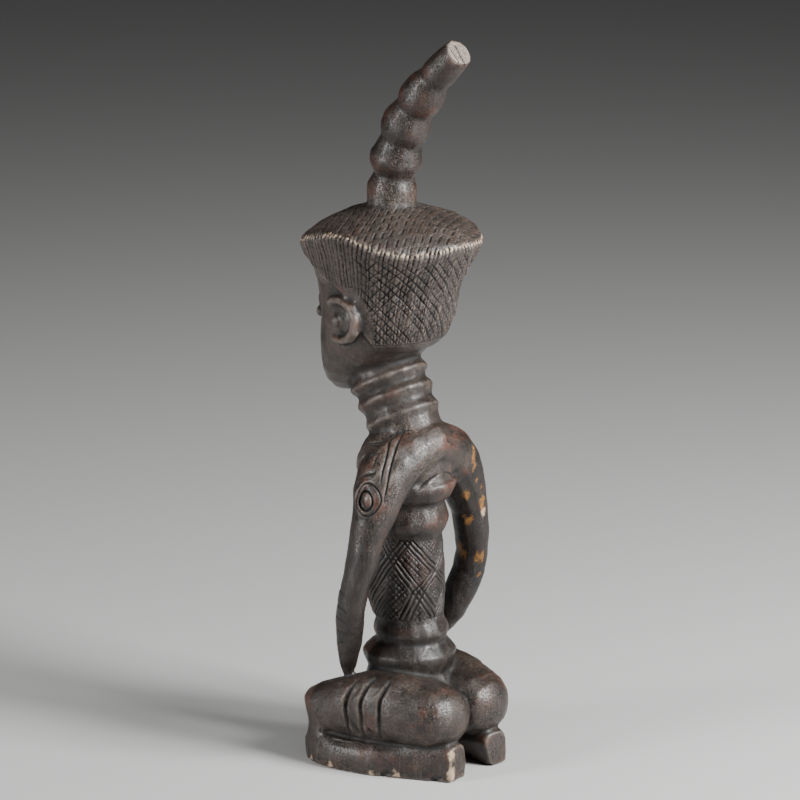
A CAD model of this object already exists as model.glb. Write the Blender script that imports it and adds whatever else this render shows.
import math

import bmesh
import bpy
import numpy as np
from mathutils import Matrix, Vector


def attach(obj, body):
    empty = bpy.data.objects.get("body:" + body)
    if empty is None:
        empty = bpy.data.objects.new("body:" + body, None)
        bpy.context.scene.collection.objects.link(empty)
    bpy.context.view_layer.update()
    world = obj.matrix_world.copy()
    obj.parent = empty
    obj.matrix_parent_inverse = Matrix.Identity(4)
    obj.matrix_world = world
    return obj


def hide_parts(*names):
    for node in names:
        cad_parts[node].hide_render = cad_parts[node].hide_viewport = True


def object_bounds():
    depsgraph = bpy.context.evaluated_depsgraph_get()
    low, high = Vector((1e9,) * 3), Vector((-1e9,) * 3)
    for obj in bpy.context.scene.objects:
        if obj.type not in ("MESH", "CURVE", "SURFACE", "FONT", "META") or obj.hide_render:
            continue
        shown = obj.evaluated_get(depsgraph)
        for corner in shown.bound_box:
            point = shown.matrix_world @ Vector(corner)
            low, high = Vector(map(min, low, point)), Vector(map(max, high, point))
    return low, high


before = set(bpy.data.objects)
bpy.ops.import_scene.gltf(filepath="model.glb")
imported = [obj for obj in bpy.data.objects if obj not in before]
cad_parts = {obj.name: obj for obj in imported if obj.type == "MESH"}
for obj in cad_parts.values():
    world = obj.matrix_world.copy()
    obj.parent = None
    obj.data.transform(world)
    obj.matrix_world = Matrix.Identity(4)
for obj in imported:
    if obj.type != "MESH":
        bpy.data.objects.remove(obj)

cad_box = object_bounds()

# The block: one log of dense dark hardwood, carved into the whole figure with adze and knife.
# Its rough form is the fixed model's, cut into small even facets and rubbed smooth, and more
# lightly so where an edge of the carving is still crisp.
ROUGH_FACET = 0.0015
FINE_FACET = 0.00062
MM = 0.001
LEVEL_PULL = 0.5  # share of the way to its neighbours that a point goes
SIZE_PULL = -0.52  # and the share it then goes back, so that the form keeps its size

rough = bmesh.new()
rough.from_mesh(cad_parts["figure"].data)
bmesh.ops.remove_doubles(rough, verts=rough.verts, dist=0.00002)
block_mesh = bpy.data.meshes.new("carved_figure")
rough.to_mesh(block_mesh)
rough.free()
figure = bpy.data.objects.new("carved_figure", block_mesh)
bpy.context.scene.collection.objects.link(figure)


def keep_modified_form():
    """Makes the form that the modifiers give the figure its own, and takes them off."""
    graph = bpy.context.evaluated_depsgraph_get()
    made = bpy.data.meshes.new_from_object(figure.evaluated_get(graph))
    figure.modifiers.clear()
    old = figure.data
    figure.data = made
    bpy.data.meshes.remove(old)
    made.name = "carved_figure"


def cut_into_facets(size):
    facets = figure.modifiers.new("facets", "REMESH")
    facets.mode = "VOXEL"
    facets.voxel_size = size
    keep_modified_form()


def read(what, width=3):
    values = np.empty(len(figure.data.vertices) * width, np.float32)
    figure.data.vertices.foreach_get(what, values)
    return values.reshape(-1, width).astype(float)


def move_to(places):
    """Puts the figure's points at these places, in metres."""
    figure.data.vertices.foreach_set("co", places.astype(np.float32).ravel())
    figure.data.update()


def links_between_points():
    """The two points of each edge, and for each point how many edges it has."""
    ends = np.empty(len(figure.data.edges) * 2, np.int32)
    figure.data.edges.foreach_get("vertices", ends)
    count_of = np.bincount(ends, minlength=len(figure.data.vertices))[:, None]
    return ends.reshape(-1, 2), count_of


def neighbour_means(points, ends, count_of):
    """For each point, the mean of the points that an edge joins it to."""
    mean = np.zeros_like(points)
    for here, there in (ends.T, ends.T[::-1]):
        for axis in range(3):
            mean[:, axis] += np.bincount(here, points[there, axis], len(points))
    return mean / count_of


def rub(points, rounds, how_much=1.0):
    """Levels facets over so many rounds, and keeps the form's size."""
    ends, count_of = links_between_points()
    for step in range(2 * rounds):
        pull = LEVEL_PULL if step % 2 == 0 else SIZE_PULL
        points = points + pull * how_much * (neighbour_means(points, ends, count_of) - points)
    return points


def between(value, low, high):
    """0 below low, 1 above high, and a smooth rise from one to the other."""
    part = np.clip((value - low) / (high - low), 0, 1)
    return part * part * (3 - 2 * part)


CRISP_LEVELS = [  # height in millimetres, and how much of the smoothing its edges are spared
    (0, 0.75), (25, 0.7), (34, 0.25), (66, 0.25), (76, 0.6), (108, 0.5), (112, 0.1), (170, 0.1),
    (176, 0.5), (212, 0.45), (226, 0.15), (250, 0.4), (258, 0.5), (300, 0.5), (312, 0.5),
    (360, 0.6), (384, 0.5), (390, 0.5), (403, 0.45), (410, 0.3), (428, 0.6), (520, 0.55),
    (530, 0.85),
]
cut_into_facets(ROUGH_FACET)
points = rub(read("co"), 6)
spared = np.interp(points[:, 2] / MM, *zip(*CRISP_LEVELS))
out, back, up = np.abs(points[:, 0]) / MM, points[:, 1] / MM, points[:, 2] / MM
on_arm = between(out, 33, 38) * (up > 92) * (up < 250)
on_ear = between(out, 39, 42) * between(up, 308, 314) * (1 - between(up, 360, 364)) * (back < 4)
on_base = between(up, 16, 20) * (1 - between(up, 27, 31)) * between(back, -22, -12)
spared = np.maximum(spared * (1 - 0.9 * on_arm), np.maximum(0.9 * on_ear, 0.85 * on_base))
points = rub(points, 36, (1 - spared)[:, None])
knee_front = between(-back, 24, 40) * between(up, 14, 20) * (1 - between(up, 36, 46)) * (out > 20)
ends, count_of = links_between_points()
for step in range(100):
    points += LEVEL_PULL * knee_front[:, None] * (neighbour_means(points, ends, count_of) - points)
points[:, 2] = np.maximum(points[:, 2], 0)
move_to(points)
cut_into_facets(FINE_FACET)
move_to(rub(read("co"), 3))

points = read("co") / MM
normals = read("normal")
X, Y, Z = points.T
OUT = np.abs(X)  # distance from the middle plane: what is the same on both sides uses it
mirrored = np.stack([np.sign(X), np.ones(len(X)), np.ones(len(X))], 1)
depth = np.zeros(len(X))  # how far each point is cut inwards, in millimetres
groove = np.zeros(len(X))  # 1 at the bottom of a knife line
pale = np.zeros(len(X))  # 1 where the bare wood shows


def ripple(size, seed):
    """Smooth unevenness of the hand between about -1 and 1, in waves about size long."""
    draw = np.random.default_rng(seed)
    ways = draw.normal(size=(12, 3))
    lengths = size / draw.uniform(0.6, 1.5, 12)
    ways *= (2 * math.pi / lengths / np.linalg.norm(ways, axis=1))[:, None]
    waves = np.zeros(len(X))
    for way, phase in zip(ways, draw.uniform(0, 2 * math.pi, 12)):
        waves += np.sin(points @ way + phase)
    return waves / 5


def cut_by(off, wide, deep, how_much):
    """A V-shaped cut of the knife where off, the distance from its line, is less than half wide."""
    cut = np.clip(1 - off / (wide / 2), 0, 1) * how_much
    depth[:] = np.maximum(depth, deep * cut)
    groove[:] = np.maximum(groove, np.clip(cut * 1.4, 0, 1))


def line_family(place, apart, wide, deep, how_much, seed, sway=0.1):
    """Lines at the whole numbers of place, apart millimetres from each other."""
    number = np.round(place).astype(int)
    draw = np.random.default_rng(seed)
    shift = draw.normal(0, sway, 512)[number % 512]
    force = draw.uniform(0.6, 1.2, 512)[number % 512]
    cut_by(np.abs(place - number - shift) * apart, wide, deep, force * how_much)


def smooth_path(corners, closed=False):
    """A smooth curve through the corners, as many close points."""
    corners = [np.array(corner, float) for corner in corners]
    if closed:
        corners = [corners[-1], *corners, corners[0], corners[1]]
    else:
        corners = [2 * corners[0] - corners[1], *corners, 2 * corners[-1] - corners[-2]]
    curve = []
    for a, b, c, d in zip(corners, corners[1:], corners[2:], corners[3:]):
        for t in np.arange(0, 1, 0.2):
            curve.append(0.5 * (2 * b + (c - a) * t + (2 * a - 5 * b + 4 * c - d) * t ** 2
                                + (3 * b - a - 3 * c + d) * t ** 3))
    return np.array([*curve, corners[-2]])


def score(corners, wide, deep, closed=False, one_side=False, fade=0.25, reach=8):
    """A knife line along a path over the surface, on both sides of the figure, fine at its ends."""
    line = smooth_path(corners, closed)
    where = points if one_side else points * mirrored
    facing = normals if one_side else normals * mirrored
    near = np.nonzero(((where > line.min(0) - reach) & (where < line.max(0) + reach)).all(1))[0]
    best = np.full(len(near), 1e9)
    along = np.zeros(len(near))
    for i in range(len(line) - 1):
        way = line[i + 1] - line[i]
        offset = where[near] - line[i]
        part = np.clip(offset @ way / (way @ way), 0, 1)
        offset = offset - part[:, None] * way
        lift = (offset * facing[near]).sum(1)
        off = np.sqrt(np.maximum((offset * offset).sum(1) - lift * lift, 0))
        off = np.where(np.abs(lift) < reach, off, 1e9)
        nearer = off < best
        best[nearer] = off[nearer]
        along[nearer] = (i + part[nearer]) / (len(line) - 1)
    ends = 1 if closed else 0.3 + 0.7 * np.clip(np.minimum(along, 1 - along) / fade, 0, 1)
    off = np.full(len(X), 1e9)
    how_much = np.ones(len(X))
    off[near] = best
    how_much[near] = ends
    cut_by(off, wide, deep, how_much)


# Coiffure: a flared cap of hair with a wavy rim. Upright knife lines notch the rim and run down
# the side, slanting lines cross them behind the ears, and rows of short cuts cover the low dome.
HAIR_MIDDLE = -9.82
RIM_HEIGHT = 394
RIM_WAVE = [(-90, -5), (-60, -5), (-40, -2), (-24, 4), (-2, 9.5), (12, 9.5), (24, 4.6), (36, 0),
            (56, -2.5), (90, 0)]  # degrees from the side towards the back, and the rim's lift
RIGHT_RISE = 0.35  # how far it rises over the right ear, against the left
HAIRLINE = [(-135, 389.5), (-51.8, 378), (-10.8, 357), (5.2, 323), (10.2, 295)]  # back, height
NAPE_BAND = (315.5, 320.8)  # the smooth border below the hatch
EAR = (-14.0, 336.5)  # its middle: back, height
EAR_HALF = (19.5, 21.5)  # half its depth and half its height
UPRIGHT_APART = 3.2  # degrees
SLANT_APART = 8.2  # degrees
ROW_APART = 5.3
ROW_TURN = math.radians(26)
DASH = 10.5
DOME_HEIGHTS = (384, 421.5)  # from the rim's lowest place to the foot of the horn

around = np.degrees(np.arctan2(Y - HAIR_MIDDLE, OUT))
radius = np.hypot(OUT, Y - HAIR_MIDDLE)
rise = np.interp(around, *zip(*RIM_WAVE))
crest = RIM_HEIGHT + np.where(X < 0, np.minimum(rise, rise * RIGHT_RISE), rise)
from_hairline = np.full(len(X), 1e9)
for (y0, z0), (y1, z1) in zip(HAIRLINE, HAIRLINE[1:]):
    along_piece = (Y - y0) * (y1 - y0) + (Z - z0) * (z1 - z0)
    part = np.clip(along_piece / math.hypot(y1 - y0, z1 - z0) ** 2, 0, 1)
    off = np.hypot(Y - y0 - part * (y1 - y0), Z - z0 - part * (z1 - z0))
    from_hairline = np.minimum(from_hairline, off)
above_line = Z > np.interp(Y, *zip(*HAIRLINE))
from_hairline = np.where(above_line, from_hairline, -from_hairline)
from_ear = np.hypot((Y - EAR[0]) / EAR_HALF[0], (Z - EAR[1]) / EAR_HALF[1]) * 18
hair = between(from_hairline, 1.0, 2.6) * (radius > 28) * between(Z, NAPE_BAND[1], NAPE_BAND[1] + 1.5)
hair = hair * between(from_ear, 22.0, 24.0)
down = crest - Z
flank = hair * between(down, -1.6, 0.2) * (normals[:, 2] < 0.8)
dome = (Z > DOME_HEIGHTS[0]) * (Z < DOME_HEIGHTS[1]) * between(-down, 0.0, 1.6)
dome = dome * between(radius, 18.5, 21)

uneven = 1 + 0.3 * ripple(8, 21)
upright = around + 0.16 * (RIM_HEIGHT - Z) + 0.6 * ripple(24, 22)
strength = flank * uneven * (0.55 + 0.45 * between(ripple(5, 28), -0.7, 0.1))
line_family(upright / UPRIGHT_APART, 3.4, 1.6, 1.05, strength, 31)
notch = np.exp(-((down - 0.5) / 2.2) ** 2) * hair
line_family(upright / UPRIGHT_APART, 3.4, 2.3, 1.7, notch * uneven, 31)
for seed, turned in ((32, around), (33, 180 - around)):
    reach = between(turned, 12, 20) * (1 - between(turned, 154, 164)) * between(down, 4, 12)
    slant = (turned + 1.1 * (Z - RIM_HEIGHT)) / SLANT_APART + 0.05 * ripple(20, 24)
    line_family(slant, 6.3, 1.7, 1.15, flank * reach * uneven, seed)
nicks = flank * between(ripple(3.5, 29), 0.0, 0.5)
line_family((Z + 2.5 * ripple(7, 30)) / 2.3, 2.3, 1.1, 0.5, nicks, 37, 0.2)
depth += (0.16 * ripple(2.4, 38) + 0.12 * ripple(4.5, 39)) * np.maximum(flank, dome)
depth += 0.9 * np.exp(-((down + 0.3) / 1.8) ** 2) * (radius > 54)
border = (Z > NAPE_BAND[0]) * (Z < NAPE_BAND[1] + 1.2) * (radius > 30) * (from_hairline > 0)
cut_by(np.abs(Z - NAPE_BAND[1]), 1.2, 0.6, border)

across = Y * math.cos(ROW_TURN) - X * math.sin(ROW_TURN) + 0.5 * ripple(30, 25)
run = X * math.cos(ROW_TURN) + Y * math.sin(ROW_TURN) + 1.5 * ripple(26, 26)
row = np.round(across / ROW_APART)
dash = run / DASH + 0.37 * row
gap = np.abs(dash - np.round(dash)) * DASH
dashed = dome * (0.1 + 0.9 * between(gap, 1.5, 2.6))
line_family(across / ROW_APART, ROW_APART, 1.8, 1.3, dashed, 34, 0.06)
line_family(across / ROW_APART + 0.5, ROW_APART, 0.9, 0.3, dome, 35, 0.1)
right_dome = dome * between(-X, -8, 8)
ridge = np.exp(-((np.abs(across / ROW_APART - row) - 0.5) / 0.13) ** 2) * right_dome
depth -= 0.35 * ridge
worn_crest = np.exp(-((down + 0.3 + 0.9 * ripple(5, 40)) / 2.0) ** 2) * (radius > 53)
pale[:] = np.maximum(pale, worn_crest * (1 - 0.7 * groove))
pale[:] = np.maximum(pale, 0.5 * ridge * (1 - groove))

# Face: calm and closed, on even thirds. The lids are almond rims parted by a slit, the nostrils
# are drilled, and a knife line parts the lips.
EYE = (18.0, 333.7)
EYE_HALF = (9.8, 4.6)  # half its width and half its height
MOUTH = 296.0
NOSE_FOOT = 307.7
front = between(-Y, 44, 50) * (Z > 276) * (Z < 372)
lid_across = (OUT - EYE[0]) / EYE_HALF[0]
lid_up = (Z - EYE[1] + 0.05 * (OUT - EYE[0])) / EYE_HALF[1]
almond = np.hypot(lid_across, lid_up * (1 + 0.35 * lid_across * lid_across))
depth -= 0.8 * np.exp(-((almond - 0.98) / 0.16) ** 2) * front * (1 - 0.8 * between(OUT, 22, 26))
depth += 0.7 * np.exp(-((almond - 1.32) / 0.14) ** 2) * front
depth += 0.9 * np.exp(-(almond / 0.85) ** 2) * front
slit = np.abs(Z - EYE[1] + 0.5 + 0.9 * (1 - lid_across * lid_across))
cut_by(slit, 1.1, 1.0, front * (np.abs(lid_across) < 0.86))
on_lips = front * (1 - between(OUT, 9.5, 12)) * (Y < -60)
cut_by(np.abs(Z - MOUTH + 0.5 - 0.012 * X * X), 1.3, 1.2, on_lips)
cut_by(np.hypot(OUT - 4.6, (Z - NOSE_FOOT + 1.2) * 1.2), 3.4, 1.6, front * (normals[:, 2] < 0.1))
cut_by(OUT, 3.2, 0.6, front * between(Z, 298.5, 300) * (1 - between(Z, 304.5, 306)))
cut_by(np.abs(Z - 289.3 - 0.01 * X * X), 2.4, 0.6, front * (1 - between(OUT, 6, 10)) * (Y < -58))
brow = np.interp(OUT, [5, 14, 24, 32], [342.3, 345.8, 345.3, 340.3])
on_brow = front * between(OUT, 5, 7) * (1 - between(OUT, 29, 32))
on_brow = on_brow * (1 - between(np.abs(Z - brow), 1.6, 2.4))
line_family((OUT + 0.5 * Z) / 1.9, 1.9, 1.0, 0.45, on_brow, 36, 0.05)

# Shoulders: a sign of two rings on each arm, a pair of long lines from the neck to it, and short
# strokes in front of them.
OUTER_RING = [
    (64, 14.2, 212.7), (66, 16, 206), (64.9, 19.8, 201.2), (62.3, 25.4, 201), (58.9, 29.1, 205.5),
    (56.3, 30.7, 211.2), (55.7, 29.2, 216.8), (56.5, 25, 221.5), (58.5, 20, 223.9), (60.6, 15.6, 221),
]
INNER_RING = [
    (59.1, 18, 217.6), (59.6, 23, 216.7), (60.2, 26, 212), (60.8, 25, 206.6), (62.9, 21.4, 204.2),
    (62.5, 16.7, 206), (61.3, 14.6, 210), (60, 15.4, 214.5),
]
NECK_LINES = [
    [(22.2, 16.4, 255.8), (30, 17, 249.4), (42, 23.6, 242.3), (49.7, 26.7, 233.1), (54.1, 28.3, 223)],
    [(20.3, 20.6, 256), (31.5, 24.8, 249.4), (42.6, 29.6, 239.6), (48.6, 31.5, 229.9),
     (53.4, 33.3, 218.3), (55, 32.5, 210)],
]
STROKES = [
    [(43.7, 16.3, 241.3), (47.6, 17.4, 237.8), (51.3, 19.3, 233.6)],
    [(40.7, 7.5, 239.5), (44, 8.4, 237.2), (47.3, 8.8, 234.6)],
    [(38.9, 11.5, 242.6), (42.6, 12.5, 239.6), (46, 13.2, 236.4)],
    [(41.1, 1, 238), (42.4, -1, 235), (43.1, -2, 231.6)],
    [(51.7, 22.6, 232.6), (53.1, 21.9, 229.9), (55.1, 13.9, 227.6), (57, 6, 224)],
    [(37.5, 18, 246.6), (35.9, 10, 246), (35, -5, 242.6)],
    [(42.4, 19, 243.8), (43.6, 12, 240.8), (44.7, 5.4, 237.2)],
    [(31.9, 15.4, 249.3), (33, 4, 245.4), (33.7, -8.7, 240.8)],
    [(46.5, 12.8, 238.6), (49.5, 12.5, 235.8)],
    [(46.8, 9.4, 237.6), (49.6, 9.6, 235.2)],
]
ARM_EDGE = [(2, 39.6, 223.5), (9.5, 38.3, 221), (14.7, 36.2, 217.9), (21.3, 35.2, 213.8)]
score(OUTER_RING, 2.2, 1.2, closed=True)
score(INNER_RING, 2.4, 1.7, closed=True)
for line in NECK_LINES:
    score(line, 2.4, 1.7, reach=4)
for line in STROKES:
    score(line, 1.8, 1.15, fade=0.4)
score(ARM_EDGE, 2.6, 1.5, fade=0.5)

# Trunk: bands of three lines cross in lozenges on the barrel. Every second lozenge holds a grid,
# and the others hold strokes that follow the bands.
TRUNK_MIDDLE = 3.2
BAND_LINES = [  # degrees from the side towards the back, and height
    [(44, 173), (79, 153), (119, 133), (140, 111)],
    [(0, 173), (34, 151), (61, 133), (92, 111)],
    [(44, 173), (17, 155), (-11, 135), (-45, 111)],
    [(0, 173), (-30, 153), (-60, 133), (-92, 111)],
    [(-46, 173), (-68, 158), (-92, 143)],
]
BAND_STEP = 3.0
BARREL_RADIUS = 29
turned = np.degrees(np.arctan2(Y - TRUNK_MIDDLE, OUT))
barrel = between(Z, 109.5, 111) * (1 - between(Z, 171.5, 173)) * (np.hypot(OUT, Y - TRUNK_MIDDLE) < 37)
from_band = np.full(len(X), 1e9)
for seed, band in enumerate(BAND_LINES):
    degrees, heights = zip(*band)
    at = np.interp(Z, heights[::-1], degrees[::-1])
    at = np.where(at > 90, 180 - at, np.where(at < -90, -180 - at, at))
    off = np.radians(turned - at) * BARREL_RADIUS * 0.72 + 0.25 * ripple(12, 41 + seed)
    inside = barrel * (Z > heights[-1]) * (Z < heights[0])
    from_band = np.where(inside, np.minimum(from_band, np.abs(off)), from_band)
    for shift, deep in ((-BAND_STEP, 1.5), (0, 1.25), (BAND_STEP, 1.5)):
        cut_by(np.abs(off - shift), 1.9, deep, inside * (0.9 + 0.25 * ripple(14, 47 + seed)))
field = between(from_band, 4.2, 4.9) * barrel * (1 + 0.25 * ripple(7, 51))
arc = np.radians(turned) * BARREL_RADIUS
to_back = between(turned, 62, 70)
to_front = 1 - between(turned, 8, 16)
grid = field * (1 - to_back) * (1 - to_front)
line_family((arc + 0.95 * Z) / 4.6, 3.3, 1.5, 0.95, grid, 52, 0.06)
line_family((arc - 0.95 * Z) / 4.6, 3.3, 1.5, 0.95, grid, 53, 0.06)
line_family((arc + Z) / 3.4, 2.4, 1.2, 0.7, field * to_back, 54, 0.1)
line_family((arc - Z) / 3.4, 2.4, 1.2, 0.7, field * to_back, 55, 0.1)
strokes = field * to_front * between(ripple(16, 56), -0.75, -0.45)
line_family((arc - 0.85 * Z) / 3.9, 2.8, 1.5, 0.9, strokes, 57, 0.08)

# Thighs and lower legs: three deep cuts leave two bands round each thigh. An old drying crack
# runs up the left knee, and a chisel has left marks where trunk and thighs meet.
THIGH_CUTS = [
    [(52, 3, 70), (57.5, 0.5, 61.8), (61.3, -1.1, 50.8), (61, 0.3, 39.4), (58, -0.7, 27)],
    [(48, 16, 73), (53.7, 15, 67.2), (59.6, 12.4, 55), (59.7, 13.5, 43.6), (56, 11.6, 27.5)],
    [(44, 28, 72), (49.5, 29.1, 67.8), (55.7, 27.8, 57.4), (56.5, 28.4, 44.7), (51.5, 25.4, 28)],
]
for line in THIGH_CUTS:
    score(line, 4.2, 3.0, fade=0.5)
# The slab's long upper edge slopes outwards, from the crease under the thigh to its upright side.
slope = between(Z, 12, 24) * (1 - between(Z, 25, 27)) * between(Y, -34, 2) * (1 - between(Y, 30, 55))
depth += 2.4 * slope * between(normals[:, 0] * np.sign(X), 0.2, 0.6) * (OUT > 40)
KNEE_CRACK = [(63, -26.5, 44), (63.2, -28.7, 37.2), (66.5, -23.7, 23.6), (66.6, -23.8, 2)]
score(KNEE_CRACK, 0.9, 1.2, one_side=True)
score([(-12, 39.3, 75.1), (-9, 46, 70)], 1.3, 0.8, one_side=True)
score([(-7, 38.5, 71.5), (-10, 42, 68)], 1.1, 0.6, one_side=True)

# Hands: flat hands laid on the thighs, their fingers parted by short lines. Their outer edges and
# the forearms keep the scallops of the knife.
for across_hand in (-3.4, 0, 3.4):
    between_fingers = [
        (57.5, across_hand - 8, 94), (53, across_hand - 13, 82), (48.5, across_hand - 16, 74)]
    score(between_fingers, 1.4, 0.9)
for high in (86, 97, 108, 119, 130, 142):
    score([(66, -6, high), (70, -2, high + 1), (72, 5, high - 1), (72, 12, high - 5)], 3.4, 0.7)
on_hand = between(OUT, 46, 52) * (1 - between(Z, 128, 142)) * between(Z, 72, 78) * (Y < 30)
depth += (0.2 * ripple(6, 66) + 0.14 * ripple(3, 67)) * on_hand

# Horn: it was sawn off straight at the top, and the end grain there has dried and split along two
# lines, a long one across the middle and a shorter one beside it.
LONG_SPLIT = [(0, 50, 541), (0.5, 54.5, 536), (1.5, 58.5, 530.5), (1.2, 60, 527)]
SHORT_SPLIT = [(6.6, 51, 541), (6.5, 56, 535), (5.5, 59.5, 528)]
score(LONG_SPLIT, 1.5, 1.6, one_side=True, fade=0.1)
score(SHORT_SPLIT, 1.2, 0.9, one_side=True, fade=0.2)

# Hand work all over: shallow hollows of the blade, and knocks along the lowest edges.
depth += (0.22 * ripple(14, 61) + 0.05 * ripple(5, 62)) * between(Z, 1, 3)
low_edge = (1 - between(Z, 2, 7)) * between(-normals[:, 2], -0.6, 0.1)
depth += 1.3 * low_edge * between(ripple(12, 63), 0.2, 0.8)

# The cuts are made, and their edges rubbed a little.
points = points - normals * depth[:, None]
points[:, 2] = np.maximum(points[:, 2], 0)
points = rub(points, 1, 0.5)
low, high = np.array(cad_box[0]) / MM, np.array(cad_box[1]) / MM
points = np.clip(points, low, high)
move_to(points * MM)

# Traces of use for the finish: raised edges that hands have rubbed, and bare or painted spots.
levelled = points
ends, count_of = links_between_points()
for step in range(24):
    levelled = neighbour_means(levelled, ends, count_of)
raised = ((points - levelled) * read("normal")).sum(1)
OCHRE_SPOTS = [  # place and size of the yellow earth left on the right arm
    ((-37.7, 36.7, 232.4), 5), ((-37.4, 38.1, 226), 6), ((-38.5, 37.6, 218), 5),
    ((-44, 36, 209), 4), ((-48.8, 35.1, 201.4), 4), ((-52.1, 33.3, 190.4), 5), ((-54, 32.3, 184), 4),
    ((-37.9, 30.9, 196.8), 7), ((-46.4, 24.5, 174.4), 6.5), ((-50.9, 12.7, 147.8), 9),
    ((-59.6, 25, 142.9), 7), ((-61, 24, 128), 4),
]
BARE_SPOTS = [  # chips and worn places where the pale wood shows
    ((-55.2, 31.6, 180.9), 3.6), ((29.2, 75.8, 21), 5), ((29.1, 75.8, 7), 6), ((66.5, -12, 3), 4),
    ((57.6, 22.3, 1.5), 4), ((50.3, 38.6, 3), 4), ((63, -33, 4), 4), ((-36, 72, 12), 3),
]
ochre = np.zeros(len(points))
broken_edge = 0.35 * ripple(4, 71) + 0.2 * ripple(2, 72)
for marks, spots in ((ochre, OCHRE_SPOTS), (pale, BARE_SPOTS)):
    for place, size in spots:
        off = np.linalg.norm((points - np.array(place)) * (1, 1, 0.7), axis=1) / size
        marks[:] = np.maximum(marks, 1 - between(off + broken_edge, 0.3, 1.2))
TONE_LEVELS = [  # height, and how much of the dust stays there
    (0, 0.5), (25, 0.55), (70, 0.5), (76, 0.25), (112, 0.2), (170, 0.15), (180, 0.35), (212, 0.4),
    (226, 1.0), (256, 0.95), (262, 0.45), (310, 0.5), (330, 0.7), (425, 0.7), (432, 0.3), (545, 0.3),
]
tone = np.interp(points[:, 2], *zip(*TONE_LEVELS))
height = points[:, 2]
upper_arm = between(np.abs(points[:, 0]), 36, 46) * (height > 90) * (height < 240)
arm_tone = np.interp(height, [110, 195, 222], [0.15, 0.25, 0.95])
tone = tone * (1 - upper_arm) + upper_arm * arm_tone
right_arm = between(-points[:, 0], 28, 36) * between(height, 90, 110)
right_arm = right_arm * (1 - between(height, 222, 236))
tone = tone * (1 - 0.85 * right_arm)
combed = np.maximum(flank, dome)
end_face = between(points[:, 2], 528, 529) * between(read("normal")[:, 1], 0.3, 0.6)
for name, values in (
    ("groove", groove),
    ("raised", np.clip(raised / 0.6, -1, 1)),
    ("pale", pale),
    ("ochre", ochre),
    ("end_grain", end_face),
    ("dusty", tone),
    ("combed", combed),
):
    layer = figure.data.attributes.new(name, "FLOAT", "POINT")
    layer.data.foreach_set("value", values.astype(np.float32))

TRIANGLE_LIMIT = 194000
triangles = sum(len(face.vertices) - 2 for face in figure.data.polygons)
if triangles > TRIANGLE_LIMIT:
    thinned = figure.modifiers.new("thinned", "DECIMATE")
    thinned.ratio = TRIANGLE_LIMIT / triangles
    keep_modified_form()
figure.data.shade_smooth()

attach(figure, "root")
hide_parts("figure")

# Finish: dark hardwood, blackened, waxed and long handled. It is dull and black in the cuts,
# reddish brown and shiny where it is rubbed, and bare or daubed with yellow earth in spots.
broken_mark = bpy.data.node_groups.new("broken_mark", "ShaderNodeTree")
for name, start_at in (("Mark", 0.0), ("Size", 200.0), ("Least", 0.4), ("Most", 0.7)):
    socket = broken_mark.interface.new_socket(name, in_out="INPUT", socket_type="NodeSocketFloat")
    socket.default_value = start_at
broken_mark.interface.new_socket("Mask", in_out="OUTPUT", socket_type="NodeSocketFloat")


def add_node(tree, kind, inputs=(), **settings):
    """A node with its settings made, and values or other nodes' outputs put to its inputs."""
    made = tree.nodes.new(kind)
    for name, value in settings.items():
        setattr(made, name, value)
    for name, value in inputs:
        if isinstance(value, bpy.types.NodeSocket):
            tree.links.new(value, made.inputs[name])
        else:
            made.inputs[name].default_value = value
    return made


def grain_noise(tree, size, detail=5.0, stretch=(1.0, 1.0, 1.0), shift=(0.0, 0.0, 0.0)):
    """Noise on the object's own coordinates, with size cells to the metre."""
    place = add_node(tree, "ShaderNodeTexCoord")
    moved = add_node(tree, "ShaderNodeMapping", [
        ("Vector", place.outputs["Object"]), ("Scale", stretch), ("Location", shift)])
    made = add_node(tree, "ShaderNodeTexNoise", [
        ("Vector", moved.outputs["Vector"]), ("Scale", size), ("Detail", detail), ("Roughness", 0.6)])
    return made.outputs["Fac"]


def ranged(tree, value, low, high, to_low=0.0, to_high=1.0):
    limits = [("From Min", low), ("From Max", high), ("To Min", to_low), ("To Max", to_high)]
    made = add_node(tree, "ShaderNodeMapRange", [("Value", value), *limits],
                    interpolation_type="SMOOTHSTEP")
    return made.outputs["Result"]


def calculated(tree, operation, first, second):
    return add_node(tree, "ShaderNodeMath", [(0, first), (1, second)], operation=operation).outputs[0]


entry = add_node(broken_mark, "NodeGroupInput").outputs
breaks = grain_noise(broken_mark, entry["Size"], 6.0)
broken = calculated(broken_mark, "MULTIPLY", entry["Mark"],
                    calculated(broken_mark, "ADD", breaks, 0.5))
mask = ranged(broken_mark, broken, entry["Least"], entry["Most"])
add_node(broken_mark, "NodeGroupOutput", [("Mask", mask)])

wood = bpy.data.materials.new("dark_wood")
wood.use_nodes = True
tree = wood.node_tree
shader = tree.nodes["Principled BSDF"]


def mark(name):
    return add_node(tree, "ShaderNodeAttribute", attribute_name=name).outputs["Fac"]


def broken_by(value, size, least, most):
    made = add_node(tree, "ShaderNodeGroup", node_tree=broken_mark)
    for name, setting in (("Size", size), ("Least", least), ("Most", most)):
        made.inputs[name].default_value = setting
    tree.links.new(value, made.inputs["Mark"])
    return made.outputs["Mask"]


def toned(amount, first, second):
    """A mix of two colours, each one a value or another node's output."""
    made = add_node(tree, "ShaderNodeMix", [("Factor", amount)], data_type="RGBA")
    for name, colour in (("A", first), ("B", second)):
        socket = next(s for s in made.inputs if s.name == name and s.type == "RGBA")
        if isinstance(colour, tuple):
            socket.default_value = (*colour, 1.0)
        else:
            tree.links.new(colour, socket)
    return next(s for s in made.outputs if s.type == "RGBA")


def with_share(value, extra, share):
    """The value, and on top of it this share of another one."""
    return calculated(tree, "ADD", value, calculated(tree, "MULTIPLY", extra, share))


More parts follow.
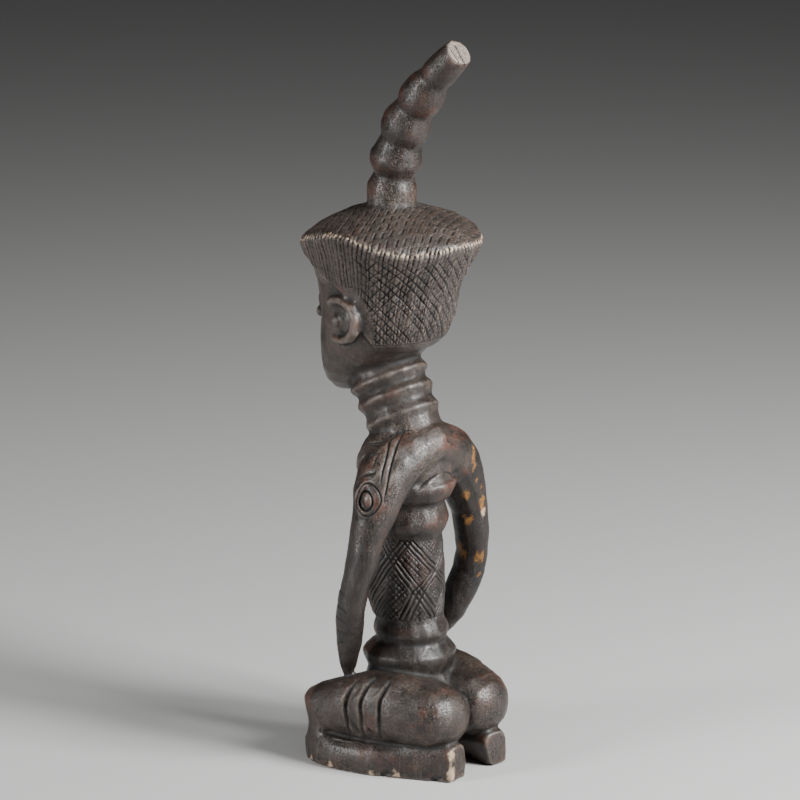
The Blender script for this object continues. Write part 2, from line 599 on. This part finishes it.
BLACKENED = (0.0030, 0.0022, 0.0018)
BROWN = (0.0200, 0.0130, 0.0100)
DUSTY = (0.105, 0.082, 0.067)
RUBBED = (0.085, 0.025, 0.012)
BARE = (0.36, 0.265, 0.18)
YELLOW_EARTH = (0.30, 0.130, 0.016)
SAWN = (0.21, 0.175, 0.15)

raised_mark = mark("raised")
groove_mark = mark("groove")
dusty_mark = mark("dusty")
combed_mark = mark("combed")
streaks = grain_noise(tree, 520.0, 4.0, stretch=(1.0, 1.0, 0.08))
blotches = grain_noise(tree, 60.0, 8.0)
specks = grain_noise(tree, 850.0, 4.0, shift=(5.0, 2.0, 4.0))
colour = toned(ranged(tree, blotches, 0.34, 0.64), BLACKENED, BROWN)
dust_areas = ranged(tree, grain_noise(tree, 38.0, 6.0, shift=(7.0, 7.0, 1.0)), 0.38, 0.64, 0.15, 1.0)
dust = calculated(tree, "MULTIPLY", ranged(tree, specks, 0.45, 0.6), dust_areas)
dust = calculated(tree, "MULTIPLY", dust, dusty_mark)
colour = toned(dust, colour, DUSTY)
colour = toned(calculated(tree, "MULTIPLY", ranged(tree, streaks, 0.42, 0.75), 0.22), colour, DUSTY)
colour = toned(calculated(tree, "MULTIPLY", combed_mark, 0.14), colour, DUSTY)
red_areas = ranged(tree, grain_noise(tree, 42.0, 7.0, shift=(3.0, 1.0, 2.0)), 0.5, 0.66)
red = calculated(tree, "MULTIPLY", red_areas, ranged(tree, raised_mark, -0.05, 0.45, 0.04, 0.55))
red = calculated(tree, "MULTIPLY", red, ranged(tree, combed_mark, 0.0, 1.0, 1.0, 0.3))
colour = toned(red, colour, RUBBED)
hollow = ranged(tree, calculated(tree, "MULTIPLY", raised_mark, -1.0), 0.08, 0.7, 0.0, 0.85)
colour = toned(hollow, colour, BLACKENED)
sooted = ranged(tree, dusty_mark, 0.1, 0.6, 0.5, 0.0)
colour = toned(sooted, colour, BLACKENED)
worn = calculated(tree, "MULTIPLY", broken_by(raised_mark, 330.0, 0.35, 0.95), dusty_mark)
colour = toned(worn, colour, DUSTY)
colour = toned(calculated(tree, "MULTIPLY", groove_mark, 0.85), colour, BLACKENED)
colour = toned(broken_by(mark("pale"), 600.0, 0.42, 1.05), colour, BARE)
colour = toned(broken_by(mark("ochre"), 550.0, 0.6, 1.35), colour, YELLOW_EARTH)
sawn = toned(ranged(tree, grain_noise(tree, 700.0, 3.0), 0.3, 0.7), DUSTY, SAWN)
unsplit = ranged(tree, groove_mark, 0.2, 0.6, 1.0, 0.0)
colour = toned(calculated(tree, "MULTIPLY", mark("end_grain"), unsplit), colour, sawn)
tree.links.new(colour, shader.inputs["Base Color"])

wax = ranged(tree, grain_noise(tree, 130.0, 7.0, shift=(1.0, 7.0, 3.0)), 0.34, 0.66, 0.29, 0.38)
dull = with_share(wax, groove_mark, 0.35)
dull = with_share(dull, ranged(tree, specks, 0.4, 0.62), 0.1)
dull = with_share(dull, hollow, 0.35)
tree.links.new(dull, shader.inputs["Roughness"])
shader.inputs["Specular IOR Level"].default_value = 0.45
shader.inputs["Coat Weight"].default_value = 0.0

pits = ranged(tree, grain_noise(tree, 800.0, 4.0, shift=(2.0, 2.0, 8.0)), 0.3, 0.5)
pores = with_share(with_share(pits, specks, 0.7), streaks, 0.5)
skin = add_node(tree, "ShaderNodeBump", [("Height", pores), ("Strength", 0.6), ("Distance", 0.0003)])
tree.links.new(skin.outputs["Normal"], shader.inputs["Normal"])
figure.data.materials.clear()
figure.data.materials.append(wood)

# Setting: a plain pale floor, soft studio light, and the camera where the photograph's stood.
floor_form = bmesh.new()
bmesh.ops.create_grid(floor_form, x_segments=1, y_segments=1, size=40)
floor_mesh = bpy.data.meshes.new("floor")
floor_form.to_mesh(floor_mesh)
floor_form.free()
floor = bpy.data.objects.new("floor", floor_mesh)
bpy.context.scene.collection.objects.link(floor)
paint = bpy.data.materials.new("pale_floor")
paint.use_nodes = True
paint_shader = paint.node_tree.nodes["Principled BSDF"]
paint_shader.inputs["Base Color"].default_value = (0.42, 0.415, 0.41, 1)
paint_shader.inputs["Roughness"].default_value = 0.7
floor_mesh.materials.append(paint)

world = bpy.data.worlds.new("studio")
world.use_nodes = True
world.node_tree.nodes["Background"].inputs["Color"].default_value = (0.80, 0.80, 0.81, 1)
world.node_tree.nodes["Background"].inputs["Strength"].default_value = 0.05
bpy.context.scene.world = world

AIM = (0.0, 0.00818, 0.275)


def stand(thing, azimuth, elevation, distance):
    """Puts a lamp or the camera at this angle and distance from the figure, facing it."""
    turn, lift = math.radians(azimuth), math.radians(elevation)
    away = (math.sin(turn) * math.cos(lift), -math.cos(turn) * math.cos(lift), math.sin(lift))
    thing.location = [middle + distance * part for middle, part in zip(AIM, away)]
    thing.rotation_euler = (math.radians(90) - lift, 0, turn)


for name, azimuth, elevation, distance, wide, high, power in (
    ("key", 194, 28, 1.5, 0.5, 1.1, 92),
    ("left", 68, 14, 1.7, 0.4, 1.2, 36),
    ("top", 165, 72, 1.7, 0.6, 0.6, 4),
):
    lamp = bpy.data.objects.new(name, bpy.data.lights.new(name, "AREA"))
    lamp.data.shape = "RECTANGLE"
    lamp.data.size = wide
    lamp.data.size_y = high
    lamp.data.energy = power
    bpy.context.scene.collection.objects.link(lamp)
    stand(lamp, azimuth, elevation, distance)

SENSOR_WIDTH = 36
FRAME_WIDTH = 800  # of the photograph, in pixels
FOCAL_LENGTH = 4095  # of a long lens, in the same pixels
camera = bpy.data.objects.new("camera", bpy.data.cameras.new("camera"))
camera.data.sensor_width = SENSOR_WIDTH
camera.data.lens = SENSOR_WIDTH * FOCAL_LENGTH / FRAME_WIDTH
camera.data.shift_x = -10 / FRAME_WIDTH
camera.data.shift_y = -3 / FRAME_WIDTH
camera.data.clip_start = 0.05
bpy.context.scene.collection.objects.link(camera)
stand(camera, 132, 14.4, 3.0)
bpy.context.scene.camera = camera
